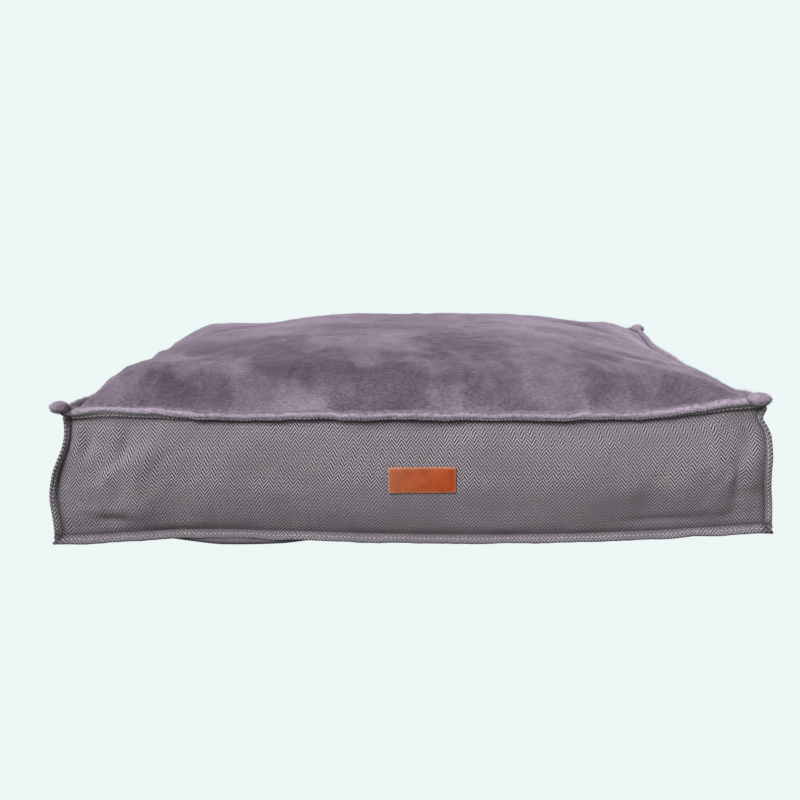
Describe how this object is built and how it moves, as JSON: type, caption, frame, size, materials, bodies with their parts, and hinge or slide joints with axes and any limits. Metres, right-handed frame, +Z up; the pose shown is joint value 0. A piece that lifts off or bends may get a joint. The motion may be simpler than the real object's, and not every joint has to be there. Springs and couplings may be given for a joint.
{
  "type": "pet cushion bed",
  "caption": "Boxed rectangular pet bed: plush top, herringbone tweed walls with flanged seams, canvas base and a rear zip, over a fibre-filled liner.",
  "frame": {"origin": "on the floor, under the middle of the bed's bounding box", "axes": "+X along the long front edge, -Y out of the front wall that carries the label, +Z up"},
  "size_m": [0.979, 0.7369, 0.2497],
  "materials": {
    "plush": "short cut pile, mauve-grey",
    "tweed": "herringbone weave, warm grey and charcoal yarns",
    "base_canvas": "plain weave, dark grey",
    "leather": "smooth tan leather",
    "tan_thread": "twisted sewing thread, tan",
    "grey_thread": "twisted sewing thread, grey",
    "zip_tape": "narrow woven tape, near-black",
    "zip_nylon": "moulded nylon coil",
    "zip_metal": "dark nickel plate",
    "care_satin": "blank satin tape",
    "liner_cloth": "undyed nonwoven liner",
    "polyester_fibre": "hollow-fibre fill"
  },
  "bodies": {
    "cushion": {"top_panel": "plush", "base_panel": "base_canvas", "front_boxing": "tweed", "left_boxing": "tweed", "right_boxing": "tweed", "rear_boxing_upper": "tweed", "rear_boxing_lower": "tweed", "leather_label": "leather", "label_stitching": "tan_thread", "top_stitching_front": "grey_thread", "top_stitching_right": "grey_thread", "top_stitching_rear": "grey_thread", "top_stitching_left": "grey_thread", "base_stitching_front": "grey_thread", "base_stitching_right": "grey_thread", "base_stitching_rear": "grey_thread", "base_stitching_left": "grey_thread", "corner_stitching_front_left": "grey_thread", "corner_stitching_front_right": "grey_thread", "corner_stitching_rear_left": "grey_thread", "corner_stitching_rear_right": "grey_thread", "zip_stitching_upper": "grey_thread", "zip_stitching_lower": "grey_thread", "zip_tape_upper": "zip_tape", "zip_tape_lower": "zip_tape", "zip_coil_upper": "zip_nylon", "zip_coil_lower": "zip_nylon", "zip_bottom_stop": "zip_metal", "zip_top_stop_upper": "zip_metal", "zip_top_stop_lower": "zip_metal", "care_label": "care_satin", "liner_top": "liner_cloth", "liner_base": "liner_cloth", "liner_boxing": "liner_cloth", "fibre_filling": "polyester_fibre"},
    "zip_slider": {"zip_slider": "zip_metal"},
    "zip_pull": {"zip_pull": "zip_metal"}
  },
  "joints": [
    {"name": "zip_slide", "type": "slide", "parent": "cushion", "child": "zip_slider", "axis": [-1, 0, 0], "range_m": [0, 0.698]},
    {"name": "pull_hinge", "type": "hinge", "parent": "zip_slider", "child": "zip_pull", "pos_m": [0.3495, 0.36665, 0.097], "axis": [0, 0, -1], "range_deg": [0, 170]}
  ]
}
